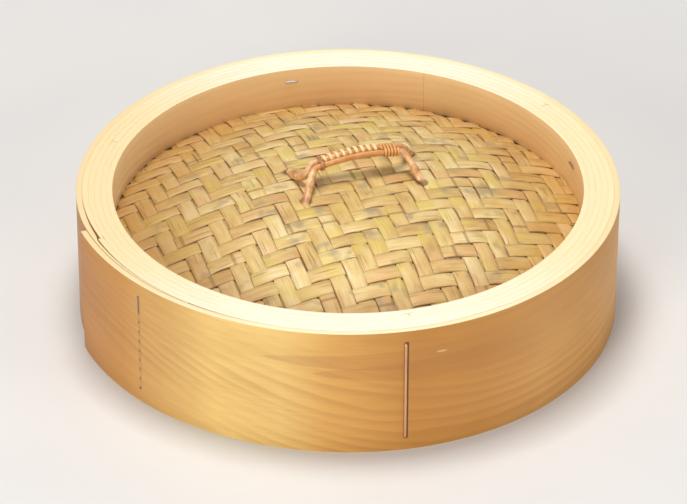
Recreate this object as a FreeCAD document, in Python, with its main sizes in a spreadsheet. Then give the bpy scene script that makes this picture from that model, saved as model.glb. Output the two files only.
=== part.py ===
"""Cover of a wide commercial steamer: a thick hoop of coiled wooden plies, a woven bamboo dome held
between two inner rings, a bent cane handle through the dome, and wire staples through the hoop.

Millimetres, +Z up. The origin is on the hoop's axis, at its flat bottom edge. Azimuths are in
degrees, anticlockwise from +X when seen from above.
"""

import FreeCAD, Part
import math
import os

SIZES = {
    # Hoop: six plies of one thickness. The innermost one is an upper and a lower ring.
    "hoop_radius": 180,
    "hoop_height": 91,
    "ply_thickness": 4,
    "ply_joint_angle": 0.12,
    # Outer band: its free end stands proud, over its own thinned tail.
    "free_end_azimuth": -161,
    "lap_closing_azimuth": -97,
    "tail_tip_azimuth": -125,
    "lap_rise": 3.8,
    "lap_gap": 0.3,
    "dive_span": 9,
    # Outermost coil ply: one end is shaved, which leaves a wedge-shaped gap under the outer band.
    "scarf_joint_azimuth": -157,
    "scarf_span": 20,
    "scarf_depth": 1.8,
    # Dome: a flat crown, a rounded shoulder, a straight cone and a flat edge held by the inner rings.
    "dome_recess": 30,
    "crown_flat_radius": 35,
    "shoulder_radius": 245,
    "dome_slope": 16,
    "dome_edge_inset": 0.5,
    "splint_thickness": 1.2,
    "lining_thickness": 1,
    # Weave: the wefts run nearly left to right, and the warps cross them at right angles.
    "weave_azimuth": 18,
    "weft_width": 11.2,
    "weft_pitch": 12.4,
    "weft_count": 26,
    "warp_width": 10.7,
    "warp_pitch": 11.3,
    "warp_count": 28,
    "warp_shift": 4.45,
    # Handle: two bent canes side by side, whose legs spread to four feet.
    "handle_x": 6.5,
    "handle_y": 19.5,
    "handle_azimuth": 18,
    "cane_radius": 2.4,
    "cane_gap": 1,
    "cane_bend_radius": 5,
    "grip_half_length": 31.5,
    "grip_height": 18.5,
    "grip_arch": 3.4,
    "foot_reach": 43,
    "front_right_foot_reach": 38,
    "front_foot_spread": 21,
    "back_foot_spread": 18.5,
    "clinch_depth": 10.5,
    "clinch_length": 14,
    "clinch_spread": 4,
    "clinch_fall": 1.5,
    # Grip: a wrap round the back cane, between two bindings that hold both canes together.
    "wrap_thickness": 0.8,
    "wrap_left": -24.5,
    "wrap_right": 15,
    "binding_thickness": 1.2,
    "binding_reach": 28,
    # Staples: round wire with its crown upright on the outside of the hoop.
    "wire_radius": 0.9,
    "wire_sunk": 0.45,
    "wire_bend_radius": 2,
    "staple_margin": 9.8,
    "staple_clinch": 9,
}

PLY_JOINT_AZIMUTHS = {"coil_ply_2": 38, "coil_ply_3": 161, "coil_ply_4": 284}
UPPER_RING_JOINT_AZIMUTH = 70.5
LOWER_RING_JOINT_AZIMUTH = 236
STAPLE_AZIMUTHS = {"left": -137.5, "front": -78.2, "right": 13.5, "back": 103}

Vector = FreeCAD.Vector
UP = Vector(0, 0, 1)

doc = FreeCAD.newDocument("SteamerCover")
sheet = doc.addObject("Spreadsheet::Sheet", "Sizes")
for row, (alias, value) in enumerate(SIZES.items(), start=1):
    sheet.set(f"A{row}", alias)
    sheet.set(f"B{row}", str(value))
    sheet.setAlias(f"B{row}", alias)
doc.recompute()

sub_parts = []


def size(alias):
    """The value of one cell of the sheet."""
    return float(sheet.get(alias))


def bound(kind, name, **expressions):
    """A document object whose properties follow expressions on the sheet."""
    made = doc.addObject(kind, name)
    for property_name, expression in expressions.items():
        made.setExpression(property_name, expression)
    return made


def boolean(kind, name, base, tool):
    made = doc.addObject(kind, name)
    made.Base = base
    made.Tool = tool
    return made


def compound(name, members):
    made = doc.addObject("Part::Compound", name)
    made.Links = members
    return made


def sub_part(made):
    """Marks a finished object as one of the cover's pieces."""
    made.Label = made.Name
    sub_parts.append(made)


def polar(radius, azimuth, height=0.0):
    angle = math.radians(azimuth)
    return Vector(radius * math.cos(angle), radius * math.sin(angle), height)


# ---------------------------------------------------------------- rods and sleeves along a bent path


def rounded_path(points, radii):
    """Straight runs between the points, joined at each inner point by a tangent arc."""
    edges = []
    start = points[0]
    for before, corner, after, radius in zip(points, points[1:], points[2:], radii):
        arriving = (corner - before).normalize()
        leaving = (after - corner).normalize()
        half_turn = arriving.getAngle(leaving) / 2
        setback = radius * math.tan(half_turn)
        depth = radius / math.cos(half_turn) - radius
        entry = corner - arriving * setback
        middle = corner + (leaving - arriving).normalize() * depth
        end = corner + leaving * setback
        edges.append(Part.LineSegment(start, entry).toShape())
        edges.append(Part.Arc(entry, middle, end).toShape())
        start = end
    edges.append(Part.LineSegment(start, points[-1]).toShape())
    return Part.Wire(edges)


def sweep(name, points, radii, section):
    """A solid of one section along a rounded path. The section is drawn about the path's start."""
    path = doc.addObject("Part::Feature", name + "_path")
    path.Shape = rounded_path(points, radii)
    made = doc.addObject("Part::Sweep", name)
    made.Sections = [section]
    made.Spine = (path, [f"Edge{number + 1}" for number in range(len(path.Shape.Edges))])
    made.Solid = True
    return made


def rod(name, points, radii, radius_alias):
    circle = bound("Part::Circle", name + "_section", Radius=f"Sizes.{radius_alias}")
    facing = FreeCAD.Rotation(UP, points[1] - points[0])
    circle.Placement = FreeCAD.Placement(points[0], facing)
    return sweep(name, points, radii, circle)


# ---------------------------------------------------------------- hoop: outer band and coil plies


def swept_arc(radius_at, start, end):
    """An arc from one azimuth to the next, through the radius wanted at both ends and half way."""
    stations = [polar(radius_at(azimuth), azimuth) for azimuth in (start, (start + end) / 2, end)]
    return Part.Arc(*stations).toShape()


def radial_edge(inner, outer, azimuth):
    return Part.LineSegment(polar(inner, azimuth), polar(outer, azimuth)).toShape()


def ease(angle, span):
    """A share that grows from 0 to 1 over the span, level at its start."""
    return (1 - math.cos(math.radians(angle))) / (1 - math.cos(math.radians(span)))


def lap_lift(azimuth):
    """How far the outer band's free end is lifted by the tail that lies under it."""
    closing = size("lap_closing_azimuth")
    return size("lap_rise") * ease(closing - azimuth, closing - size("free_end_azimuth"))


def extruded_ply(name, edges):
    """A ply of the hoop's full height from its outline seen from above."""
    outline = doc.addObject("Part::Feature", name + "_outline")
    outline.Shape = Part.Wire(Part.__sortEdges__(edges))
    made = bound("Part::Extrusion", name + "_blank", LengthFwd="Sizes.hoop_height")
    made.Base = outline
    made.DirMode = "Custom"
    made.Dir = UP
    made.Solid = True
    return made


def outer_band_blank():
    outer = size("hoop_radius")
    inner = outer - size("ply_thickness")
    gap = size("lap_gap")
    free_end = size("free_end_azimuth")
    closing = size("lap_closing_azimuth")
    tip = size("tail_tip_azimuth")
    full_turn_end = free_end + 360
    dive_start = full_turn_end - size("dive_span")
    tail_top = inner + size("lap_rise") - gap

    def diving(azimuth):
        return outer - (outer - tail_top) * ease(azimuth - dive_start, size("dive_span"))

    edges = [
        swept_arc(lambda azimuth: outer + lap_lift(azimuth), free_end, closing),
        swept_arc(lambda azimuth: outer, closing, dive_start),
        swept_arc(diving, dive_start, full_turn_end),
        swept_arc(lambda azimuth: inner + lap_lift(azimuth) - gap, free_end, tip),
        radial_edge(inner, inner + lap_lift(tip) - gap, tip),
        swept_arc(lambda azimuth: inner, closing, tip + 360),
        swept_arc(lambda azimuth: inner + lap_lift(azimuth), free_end, closing),
        radial_edge(inner + size("lap_rise"), outer + size("lap_rise"), free_end),
    ]
    return extruded_ply("outer_band", edges)


def scarfed_ply_blank():
    outer = size("hoop_radius") - size("ply_thickness")
    inner = outer - size("ply_thickness")
    start = size("scarf_joint_azimuth")
    end = start + 360 - size("ply_joint_angle")
    scarf_start = end - size("scarf_span")

    def shaved(azimuth):
        return outer - size("scarf_depth") * ease(azimuth - scarf_start, size("scarf_span"))

    edges = [
        swept_arc(lambda azimuth: outer, start, scarf_start),
        swept_arc(shaved, scarf_start, end),
        radial_edge(inner, shaved(end), end),
        swept_arc(lambda azimuth: inner, start, end),
        radial_edge(inner, outer, start),
    ]
    return extruded_ply("coil_ply_1", edges)


def ring_blank(name, outermost_ply, height, base, joint_azimuth):
    """A plain bent ply: a tube one ply thick, open at its butt joint."""
    outer = bound(
        "Part::Cylinder",
        name + "_outer",
        Radius=f"Sizes.hoop_radius - Sizes.ply_thickness * {outermost_ply}",
        Height=height,
        Angle="360 - Sizes.ply_joint_angle",
    )
    outer.Placement = FreeCAD.Placement(Vector(), FreeCAD.Rotation(UP, joint_azimuth))
    outer.setExpression("Placement.Base.z", base)
    bore = bound(
        "Part::Cylinder",
        name + "_bore",
        Radius=f"Sizes.hoop_radius - Sizes.ply_thickness * {outermost_ply + 1}",
        Height="Sizes.hoop_height",
    )
    return boolean("Part::Cut", name + "_blank", outer, bore)


# ---------------------------------------------------------------- dome: layers and splints


def clamp_radius():
    """Radius where the cone ends and the flat clamped edge begins."""
    return size("hoop_radius") - 6 * size("ply_thickness") - size("dome_edge_inset")


def shoulder_end_radius():
    slope = math.radians(size("dome_slope"))
    return size("crown_flat_radius") + size("shoulder_radius") * math.sin(slope)


def edge_height():
    """Height of the dome's clamped edge, at its top surface."""
    return size("hoop_height") - size("dome_recess")


def dome_height(radius):
    """Height of the dome's top surface at a distance from the axis."""
    shoulder_end = shoulder_end_radius()
    if radius >= shoulder_end:
        run = clamp_radius() - radius
        return edge_height() + run * math.tan(math.radians(size("dome_slope")))
    crown = size("crown_flat_radius")
    bend = size("shoulder_radius")
    drop_here = bend - math.sqrt(bend**2 - max(radius - crown, 0.0) ** 2)
    drop_there = bend - math.sqrt(bend**2 - (shoulder_end - crown) ** 2)
    return dome_height(shoulder_end) + drop_there - drop_here


def dome_profile():
    """Half section of everything under the dome's top surface, out to the back of the inner rings."""
    crown = size("crown_flat_radius")
    shoulder_end = shoulder_end_radius()
    rim = size("hoop_radius") - 5 * size("ply_thickness")

    def at(radius):
        return Vector(radius, 0, dome_height(radius))

    edge = Vector(rim, 0, edge_height())
    profile = doc.addObject("Part::Feature", "dome_profile")
    profile.Shape = Part.Wire(
        [
            Part.LineSegment(Vector(), at(0)).toShape(),
            Part.LineSegment(at(0), at(crown)).toShape(),
            Part.Arc(at(crown), at((crown + shoulder_end) / 2), at(shoulder_end)).toShape(),
            Part.LineSegment(at(shoulder_end), at(clamp_radius())).toShape(),
            Part.LineSegment(at(clamp_radius()), edge).toShape(),
            Part.LineSegment(edge, Vector(rim, 0, 0)).toShape(),
            Part.LineSegment(Vector(rim, 0, 0), Vector()).toShape(),
        ]
    )
    return profile


def dome_form(profile, name, depth):
    """Everything under the dome's top surface once that is lowered by the depth."""
    form = doc.addObject("Part::Revolution", name + "_form")
    form.Source = profile
    form.Axis = UP
    form.Angle = 360
    form.Solid = True
    form.setExpression("Placement.Base.z", f"-({depth})")
    return form


def dome_layers():
    """The five layers of the dome, from the top down, by name."""
    splints = "Sizes.splint_thickness * {}"
    below_lining = "Sizes.lining_thickness + " + splints
    names = ["outer_weave_wefts", "outer_weave_warps", "leaf_lining", "inner_weave_warps",
             "inner_weave_wefts", "dome_underside"]
    depths = [splints.format(0), splints.format(1), splints.format(2), below_lining.format(2),
              below_lining.format(3), below_lining.format(4)]
    profile = dome_profile()
    forms = [dome_form(profile, name, depth) for name, depth in zip(names, depths)]
    return {
        name: boolean("Part::Cut", name + "_layer", upper, lower)
        for name, upper, lower in zip(names, forms, forms[1:])
    }


def comb(name, splints, shift, azimuth):
    """Upright slabs, one over each splint of a set that runs along the azimuth."""
    width = size(f"{splints}_width")
    pitch = size(f"{splints}_pitch")
    count = int(size(f"{splints}_count"))
    turn = FreeCAD.Rotation(UP, azimuth)
    slabs = []
    for number in range(count):
        slab = bound(
            "Part::Box",
            f"{name}_slab_{number + 1}",
            Length="Sizes.hoop_radius * 2",
            Width=f"Sizes.{splints}_width",
            Height="Sizes.hoop_height",
        )
        across = (number - (count - 1) / 2) * pitch + shift - width / 2
        slab.Placement = FreeCAD.Placement(turn.multVec(Vector(-size("hoop_radius"), across, 0)), turn)
        slabs.append(slab)
    return compound(name, slabs)


# ---------------------------------------------------------------- handle


def handle_point(along, across, height):
    """A point from its places along and across the handle, and its height."""
    turn = FreeCAD.Rotation(UP, size("handle_azimuth"))
    place = turn.multVec(Vector(along, across, 0))
    return Vector(size("handle_x") + place.x, size("handle_y") + place.y, height)


def grip_point(along, across):
    """A point on the grip's centre line, which peaks half way."""
    fall = size("grip_arch") * abs(along) / size("grip_half_length")
    return handle_point(along, across, dome_height(0) + size("grip_height") - fall)


def arch_radius():
    """Radius of the bend at the grip's peak, which takes up most of both its runs."""
    half_turn = math.atan(size("grip_arch") / size("grip_half_length"))
    run = math.hypot(size("grip_half_length"), size("grip_arch"))
    return 0.45 * run / math.tan(half_turn)


def cane_offset():
    """Distance of each cane's centre line from the middle of the grip."""
    return size("cane_radius") + size("cane_gap") / 2


def leg_points(end, side):
    """From the clinched tip under the dome, up through a foot, to one end of the grip."""
    grip_end = grip_point(end * size("grip_half_length"), side * cane_offset())
    spread = size("front_foot_spread") if side < 0 else size("back_foot_spread")
    reach = size("front_right_foot_reach") if side < 0 < end else size("foot_reach")
    foot = handle_point(end * reach, side * spread, 0)
    foot.z = dome_height(math.hypot(foot.x, foot.y))
    leg = foot - grip_end
    bend = foot + leg * (size("clinch_depth") / -leg.z)
    turn = FreeCAD.Rotation(UP, size("handle_azimuth"))
    outward = turn.multVec(Vector(end * size("clinch_length"), side * size("clinch_spread"), 0))
    tip = bend + outward - UP * size("clinch_fall")
    return [tip, bend, grip_end]


def cane(name, side):
    left = leg_points(-1, side)
    right = leg_points(1, side)
    peak = grip_point(0, side * cane_offset())
    bend = size("cane_bend_radius")
    return rod(name, left + [peak] + right[::-1], [bend, bend, arch_radius(), bend, bend],
               "cane_radius")


def wrap(name, canes):
    """A sleeve round the back cane over the grip's middle stretch."""
    points = [grip_point(along, cane_offset()) for along in (size("wrap_left"), 0, size("wrap_right"))]
    section = bound("Part::Circle", name + "_section",
                    Radius="Sizes.cane_radius + Sizes.wrap_thickness")
    section.Placement = FreeCAD.Placement(points[0], FreeCAD.Rotation(UP, points[1] - points[0]))
    return boolean("Part::Cut", name, sweep(name + "_solid", points, [arch_radius()], section), canes)


def binding(name, start, end, canes):
    """A sleeve round both canes over one end of the grip."""
    radius = size("cane_radius") + size("binding_thickness")
    points = [grip_point(start, 0), grip_point(end, 0)]
    across = FreeCAD.Rotation(UP, size("handle_azimuth")).multVec(Vector(0, 1, 0))
    upward = across.cross(points[1] - points[0]).normalize()
    corners = [
        points[0] + across * (cane_offset() * side) - upward * (radius * rise)
        for side, rise in ((-1, 1), (1, 1), (1, -1), (-1, -1))
    ]
    ends = [points[0] + across * ((cane_offset() + radius) * side) for side in (-1, 1)]
    section = doc.addObject("Part::Feature", name + "_section")
    section.Shape = Part.Wire(
        [
            Part.LineSegment(corners[0], corners[1]).toShape(),
            Part.Arc(corners[1], ends[1], corners[2]).toShape(),
            Part.LineSegment(corners[2], corners[3]).toShape(),
            Part.Arc(corners[3], ends[0], corners[0]).toShape(),
        ]
    )
    return boolean("Part::Cut", name, sweep(name + "_solid", points, [], section), canes)


# ---------------------------------------------------------------- staples


def outer_wall_radius(azimuth):
    """Radius of the hoop's outside, lifted where the outer band laps over its own tail."""
    lapped = size("free_end_azimuth") <= azimuth <= size("lap_closing_azimuth")
    return size("hoop_radius") + (lap_lift(azimuth) if lapped else 0)


def staple(name, azimuth):
    """Crown outside, two legs through the hoop and two ends bent over inside, all partly sunk."""
    standing_out = size("wire_radius") - size("wire_sunk")
    outside = outer_wall_radius(azimuth) + standing_out
    inside = size("hoop_radius") - 6 * size("ply_thickness") - standing_out
    top = size("hoop_height") - size("staple_margin")
    bottom = size("staple_margin")
    clinch_azimuth = azimuth + math.degrees(size("staple_clinch") / inside)
    points = [
        polar(inside, clinch_azimuth, top),
        polar(inside, azimuth, top),
        polar(outside, azimuth, top),
        polar(outside, azimuth, bottom),
        polar(inside, azimuth, bottom),
        polar(inside, clinch_azimuth, bottom),
    ]
    return rod(name, points, [size("wire_bend_radius")] * 4, "wire_radius")


# ---------------------------------------------------------------- assembly


staples = compound(
    "wire_staples", [staple(f"{place}_staple", at) for place, at in STAPLE_AZIMUTHS.items()]
)
sub_part(staples)

full_height = "Sizes.hoop_height"
above_dome = "Sizes.dome_recess"
dome_thickness = "(Sizes.splint_thickness * 4 + Sizes.lining_thickness)"
below_dome = f"Sizes.hoop_height - Sizes.dome_recess - {dome_thickness}"
plies = {"outer_band": outer_band_blank(), "coil_ply_1": scarfed_ply_blank()}
for number, (name, joint) in enumerate(PLY_JOINT_AZIMUTHS.items(), start=2):
    plies[name] = ring_blank(name, number, full_height, "0", joint)
plies["inner_upper_ring"] = ring_blank(
    "inner_upper_ring", 5, above_dome, "Sizes.hoop_height - Sizes.dome_recess",
    UPPER_RING_JOINT_AZIMUTH,
)
plies["inner_lower_ring"] = ring_blank(
    "inner_lower_ring", 5, below_dome, "0", LOWER_RING_JOINT_AZIMUTH
)
for name, blank in plies.items():
    sub_part(boolean("Part::Cut", name, blank, staples))

front_cane = cane("handle_front_cane", -1)
back_cane = cane("handle_back_cane", 1)
canes = compound("both_canes", [front_cane, back_cane])
sub_part(front_cane)
sub_part(back_cane)
sub_part(wrap("grip_wrap", canes))
sub_part(binding("left_grip_binding", -size("binding_reach"), size("wrap_left"), canes))
sub_part(binding("right_grip_binding", size("wrap_right"), size("binding_reach"), canes))

layers = dome_layers()
weave_azimuth = size("weave_azimuth")
wefts = comb("weft_comb", "weft", 0, weave_azimuth)
warps = comb("warp_comb", "warp", size("warp_shift"), weave_azimuth - 90)
for name, layer in layers.items():
    if name.endswith("wefts"):
        layer = boolean("Part::Common", name + "_splints", layer, wefts)
    elif name.endswith("warps"):
        layer = boolean("Part::Common", name + "_splints", layer, warps)
    sub_part(boolean("Part::Cut", name, layer, canes))

doc.recompute()

# ---------------------------------------------------------------- checks and export


for made in doc.Objects:
    if "Invalid" in made.State or "Error" in made.State:
        raise RuntimeError(f"{made.Name} did not build: {made.State}")

os.makedirs("parts", exist_ok=True)
for made in sub_parts:
    if made.Shape.isNull() or not made.Shape.isValid():
        raise RuntimeError(f"{made.Label} is null or not valid")
    if not made.Shape.Solids:
        raise RuntimeError(f"{made.Label} holds no solid")
    made.Shape.exportStep(f"parts/{made.Label}.step")
    print(f"{made.Label}: {len(made.Shape.Solids)} solid(s), {made.Shape.Volume / 1000:.2f} cm3")
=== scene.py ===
"""Looks of a commercial steamer's cover: coiled wooden hoop, twill-woven bamboo dome and cane handle.

Metres, in the CAD part's own frame: the origin is on the hoop's axis at its bottom edge, and +Z is up.
Azimuths are in degrees, anticlockwise from +X when seen from above.
"""

import math

import bmesh
import bpy
import numpy as np
from mathutils import Matrix, Vector


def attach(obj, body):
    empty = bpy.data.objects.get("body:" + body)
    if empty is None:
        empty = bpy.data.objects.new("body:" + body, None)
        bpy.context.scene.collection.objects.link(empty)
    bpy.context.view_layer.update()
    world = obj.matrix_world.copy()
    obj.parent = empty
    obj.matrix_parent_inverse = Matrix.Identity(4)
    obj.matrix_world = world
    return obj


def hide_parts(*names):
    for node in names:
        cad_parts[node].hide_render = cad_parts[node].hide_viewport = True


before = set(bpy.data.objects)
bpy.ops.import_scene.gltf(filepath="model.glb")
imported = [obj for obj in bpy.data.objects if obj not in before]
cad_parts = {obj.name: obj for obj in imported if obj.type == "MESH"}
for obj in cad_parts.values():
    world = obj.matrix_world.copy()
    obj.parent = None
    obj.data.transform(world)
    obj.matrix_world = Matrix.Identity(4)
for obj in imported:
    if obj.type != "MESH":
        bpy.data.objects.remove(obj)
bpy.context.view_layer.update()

MM = 0.001
BODY = "root"
BEND_STATIONS = 13
rng = np.random.default_rng(36)

# Hoop (azimuths, spans and joints in degrees)
PLY = 4 * MM
HOOP_HEIGHT = 91 * MM
HOOP_RADIUS = 180 * MM
DOME_EDGE_HEIGHT = 61 * MM
SANDWICH = 5.8 * MM
RING_BITE = 1 * MM
BORE_RADIUS = HOOP_RADIUS - 6 * PLY
PLY_EASE = 0.16 * MM
BAND_EASE = 0.4 * MM
EDGE_WAVE = 0.1 * MM
STATION_STEP = 1.5
FREE_END = -161.0
LAP_CLOSING = -97.0
TAIL_TIP = -125.0
LAP_RISE = 3.8 * MM
LAP_GAP = 0.3 * MM
DIVE_SPAN = 9.0
DIVE_DEPTH = LAP_GAP + 0.2 * MM
SCARF_JOINT = -157.0
SCARF_SPAN = 20.0
SCARF_DEPTH = 1.8 * MM
JOINT_ANGLE = 0.12
RING_JOINT_ANGLE = 0.06
END_EASE = 0.01
TAIL_GAP = 1.1 * MM
TAIL_CLOSING = 13.0
PLY_JOINTS = {"coil_ply_2": 38.0, "coil_ply_3": 161.0, "coil_ply_4": 284.0}
UPPER_RING_JOINT = 70.5
LOWER_RING_JOINT = 236.0

# Marks in the outer band's face. A flame is (its tip along the band, its level, how fast it widens)
FLAMES = ((0.168, 0.069, 0.026), (0.2, 0.06, 0.03))
FLAME_REACH = 0.2
# A painted highlight on the outer band's face: its azimuth, level, length and height.
GLINT_AZIMUTH = -70.7
GLINT_LEVEL = 71.6 * MM
GLINT_LENGTH = 8 * MM
GLINT_HEIGHT = 1.6 * MM

# Dome
CLAMP_RADIUS = 155.5 * MM
CROWN_RADIUS = 35 * MM
SHOULDER_RADIUS = 245 * MM
SLOPE = math.radians(16)
SPLINT_REACH = 159.3 * MM
SPLINT = 0.9 * MM
WEAVE_LAYER = 2.4 * MM
LINING = 1 * MM
WEAVE_AZIMUTH = 18.0
WEFTS = {"width": 11.8 * MM, "pitch": 12.4 * MM, "count": 26, "shift": 0.0}
WARPS = {"width": 11.0 * MM, "pitch": 11.3 * MM, "count": 28, "shift": 4.45 * MM}
FLOAT_START = {"wefts": 0.5, "warps": 1.5}
FLOAT_LIFT = 0.5 * MM
FLOAT_SNAP = 2.3
FLOAT_BULGE = 0.14 * MM
BULGE_SPREAD = 0.1 * MM
BULGE_LIMIT = 0.4 * MM
HELD_MARGIN = 4 * MM
HELD_DROP = 0.6 * MM
SPLINT_CROWN = 0.12 * MM
SPLINT_WANDER = 0.28 * MM
WIDTH_SPREAD = 0.02
NARROWEST = 1.2 * MM
WIDTH_WAVE = 0.025
STATIONS_PER_CROSSING = 6
# The longest waves in a splint's bulge, place and width
BULGE_RUN = 0.1
WANDER_RUN = 0.2
WIDTH_RUN = 0.15
NODE_SPACING = 0.19
LINING_REACH = 158.6 * MM
LINING_SKIN = 0.32 * MM
LINING_CRINKLE = 0.12 * MM

# Handle
HANDLE_PLACE = Vector((6.5 * MM, 19.5 * MM, 0))
HANDLE_AZIMUTH = 18.0
CANE_RADIUS = 2.4 * MM
CANE_OFFSET = 2.9 * MM
GRIP_HALF = 31.5 * MM
GRIP_HEIGHT = 18.5 * MM
GRIP_ARCH = 3.4 * MM
GRIP_LEAN = 2 * MM
ARCH_ROUNDING = 0.06
ARCH_SPAN = 0.786
CORNER_RADIUS = 5 * MM
FOOT_REACH = 43 * MM
FRONT_RIGHT_FOOT_REACH = 38 * MM
FRONT_FOOT_SPREAD = 21 * MM
BACK_FOOT_SPREAD = 18.5 * MM
KNEE = (-38.5 * MM, -6 * MM, 93 * MM)
CLINCH_DEPTH = 10.5 * MM
CLINCH_LENGTH = 14 * MM
CLINCH_SPREAD = 4 * MM
CLINCH_FALL = 1.5 * MM
WRAP_SPAN = (-24.5 * MM, 15 * MM)
BINDING_REACH = 28 * MM
WRAP_GAP = 1 * MM
FRONT_SHAVING = 0.55 * MM
CANE_WOBBLE = 0.15 * MM
# A cane's growth nodes are (share of its length, swelling, spread)
CANE_NODES = ((0.19, 0.7 * MM, 6 * MM), (0.27, 0.4 * MM, 2 * MM), (0.77, 0.45 * MM, 2 * MM))

# Staples
WIRE_RADIUS = 0.9 * MM
WIRE_SUNK = 0.45 * MM
STAPLE_MARGIN = 9.8 * MM
STAPLE_CLINCH = 9 * MM
STAPLES = {"left": -137.5, "front": -78.2, "right": 13.5, "back": 103.0}
STAPLE_TONES = {"left": 1.0, "front": 0.5, "right": 0.85, "back": 0.0}

# Stage
FLOOR_SIDE = 8.0
FLOOR_DEPTH = 0.02
LIGHT_AIM = Vector((0, 0, 0.06))


# -------------------- meshes


class Build:
    """Gathers lofted strips into one mesh, with a map of metres along and across the grain."""

    def __init__(self):
        self.points = []
        self.faces = []
        self.grain = []
        self.tones = []
        self.slots = []
        self.count = 0

    def loft(self, sections, along, across, tone=0.5, slots=None):
        """Joins closed sections (stations, corners, 3) into a capped solid strip.

        along and across are the grain's metres at each station and round a section. slots are the
        material numbers of a section's sides, and the caps get the highest.
        """
        stations, corners, _ = sections.shape
        index = self.count + np.arange(stations * corners).reshape(stations, corners)
        beside = np.roll(index, -1, axis=1)
        quads = np.stack([index[:-1], index[1:], beside[1:], beside[:-1]], axis=-1)
        self.faces += quads.reshape(-1, 4).tolist()
        u = np.broadcast_to(along[:, None], (stations, corners))
        v = np.broadcast_to(across[None, :], (stations, corners + 1))
        corner_u = np.stack([u[:-1], u[1:], u[1:], u[:-1]], axis=-1)
        corner_v = np.stack([v[:-1, :-1], v[1:, :-1], v[1:, 1:], v[:-1, 1:]], axis=-1)
        self.grain += np.stack([corner_u, corner_v], axis=-1).reshape(-1, 2).tolist()
        if slots is None:
            slots = np.zeros(corners, int)
        self.slots += np.tile(slots, stations - 1).tolist()
        for end, row in ((0, index[0][::-1]), (-1, index[-1])):
            self.faces.append(row.tolist())
            self.grain += [[along[end], at] for at in across[:-1]]
            self.slots.append(int(slots.max()))
        self.points.append(sections.reshape(-1, 3))
        self.tones.append(np.full(stations * corners, tone))
        self.count += stations * corners

    def finish(self, name, materials, sharp=40):
        """Makes the piece, which rides on the body and replaces the CAD node of the same name.

        Edges bent by more than sharp, in degrees, are shaded sharp.
        """
        mesh = bpy.data.meshes.new(name)
        mesh.from_pydata(np.concatenate(self.points).tolist(), [], self.faces)
        grain = mesh.uv_layers.new(name="grain")
        grain.data.foreach_set("uv", np.array(self.grain, np.float32).ravel())
        tone = mesh.attributes.new("tone", "FLOAT", "POINT")
        tone.data.foreach_set("value", np.concatenate(self.tones).astype(np.float32))
        mesh.polygons.foreach_set("material_index", np.array(self.slots, np.int32))
        for material in materials:
            mesh.materials.append(material)
        solid = bmesh.new()
        solid.from_mesh(mesh)
        bmesh.ops.recalc_face_normals(solid, faces=solid.faces)
        solid.to_mesh(mesh)
        solid.free()
        mesh.shade_smooth()
        mesh.set_sharp_from_angle(angle=math.radians(sharp))
        piece = bpy.data.objects.new(name, mesh)
        bpy.context.scene.collection.objects.link(piece)
        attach(piece, BODY)
        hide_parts(name)


def waves(at, scale, seed, terms=7):
    """A smooth seeded wander of about plus or minus the scale. at is in turns of its longest wave."""
    source = np.random.default_rng(seed)
    total = np.zeros_like(at, dtype=float)
    for term in range(1, terms + 1):
        total += np.sin(2 * np.pi * (term * at + source.random())) * source.normal() / term**0.7
    return total * scale / 2


def tangents(path):
    """Unit directions along a path."""
    steps = np.gradient(path, axis=0)
    return steps / np.linalg.norm(steps, axis=1, keepdims=True)


def lengths(path):
    """Metres travelled along a path at each of its places."""
    steps = np.linalg.norm(np.diff(path, axis=0), axis=1)
    return np.concatenate([[0], np.cumsum(steps)])


def flat_section(width, thickness, crown):
    """Corners (across, up) of a splint: flat below, slightly crowned above, eased edges."""
    half = width / 2
    ease = min(0.35 * MM, half / 3)
    top = thickness / 2
    corners = [(-half, 0), (-half + ease, -top), (half - ease, -top), (half, 0), (half - ease, top)]
    corners += [(half * 0.45, top + crown), (-half * 0.45, top + crown), (-half + ease, top)]
    return np.array(corners)


def ribbon(build, path, normals, width, thickness, crown, tone=0.5):
    """A flat strip along a path. normals point out of its upper face. width may vary along it."""
    forward = tangents(path)
    sideways = np.cross(normals, forward)
    sideways /= np.linalg.norm(sideways, axis=1, keepdims=True)
    widths = np.broadcast_to(width, len(path))
    shape = flat_section(widths.mean(), thickness, crown)
    across = shape[None, :, 0] * (widths / widths.mean())[:, None]
    sections = (
        path[:, None, :]
        + sideways[:, None, :] * across[:, :, None]
        + normals[:, None, :] * shape[None, :, 1, None]
    )
    offsets = np.append(shape[:, 0], shape[0, 0])
    build.loft(sections, lengths(path), offsets, tone)


def rod(build, path, radii, sides, tone=0.5):
    """A round rod along a path, carried round its bends without twist."""
    forward = tangents(path)
    no_rods_start = (0.31, 0.17, 0.93)
    normal = np.cross(forward[0], no_rods_start)
    angles = np.linspace(0, 2 * np.pi, sides, endpoint=False)
    sections = []
    for place, direction, radius in zip(path, forward, np.broadcast_to(radii, len(path))):
        normal = normal - direction * (normal @ direction)
        normal /= np.linalg.norm(normal)
        other = np.cross(direction, normal)
        ring = np.outer(np.cos(angles), normal) + np.outer(np.sin(angles), other)
        sections.append(place + ring * radius)
    around = np.linspace(0, 2 * np.pi * np.mean(radii), sides + 1)
    build.loft(np.array(sections), lengths(path), around, tone)


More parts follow.
